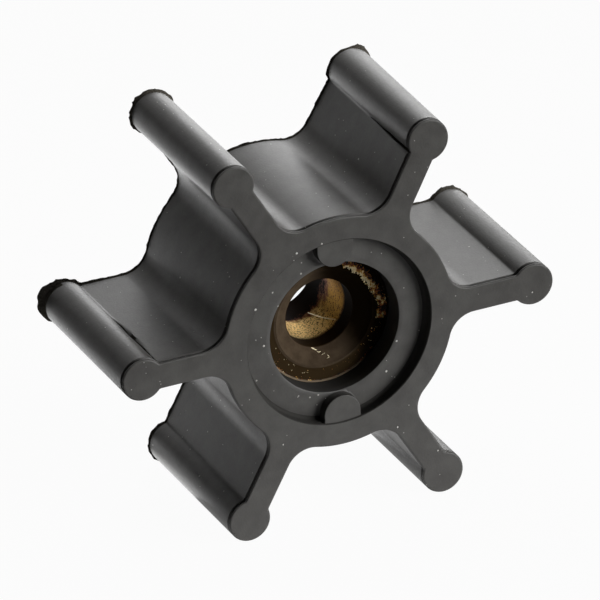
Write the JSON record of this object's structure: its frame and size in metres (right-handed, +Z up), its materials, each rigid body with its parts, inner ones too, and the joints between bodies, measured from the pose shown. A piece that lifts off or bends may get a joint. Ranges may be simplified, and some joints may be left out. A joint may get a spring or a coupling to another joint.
{
  "type": "rubber pump impeller",
  "caption": "Flexible-vane rubber pump impeller: beaded vane tips, a ring recess with lugs in one face, and a bored brass insert in the hub.",
  "frame": {"origin": "on the shaft axis, half-way between the two faces", "axes": "+Y along the shaft bore, from the recessed front face to the back face; +Z up, with vanes at 0, 60, 120, 180, 240 and 300 degrees from +X"},
  "size_m": [0.0508, 0.0214, 0.0446],
  "materials": {
    "rubber": "moulded nitrile rubber, matte, with a soft sheen and ragged flash at the back edge",
    "brass": "turned brass, dull and stained brown"
  },
  "bodies": {
    "root": {"rubber_body": "rubber", "brass_insert": "brass"}
  },
  "joints": []
}
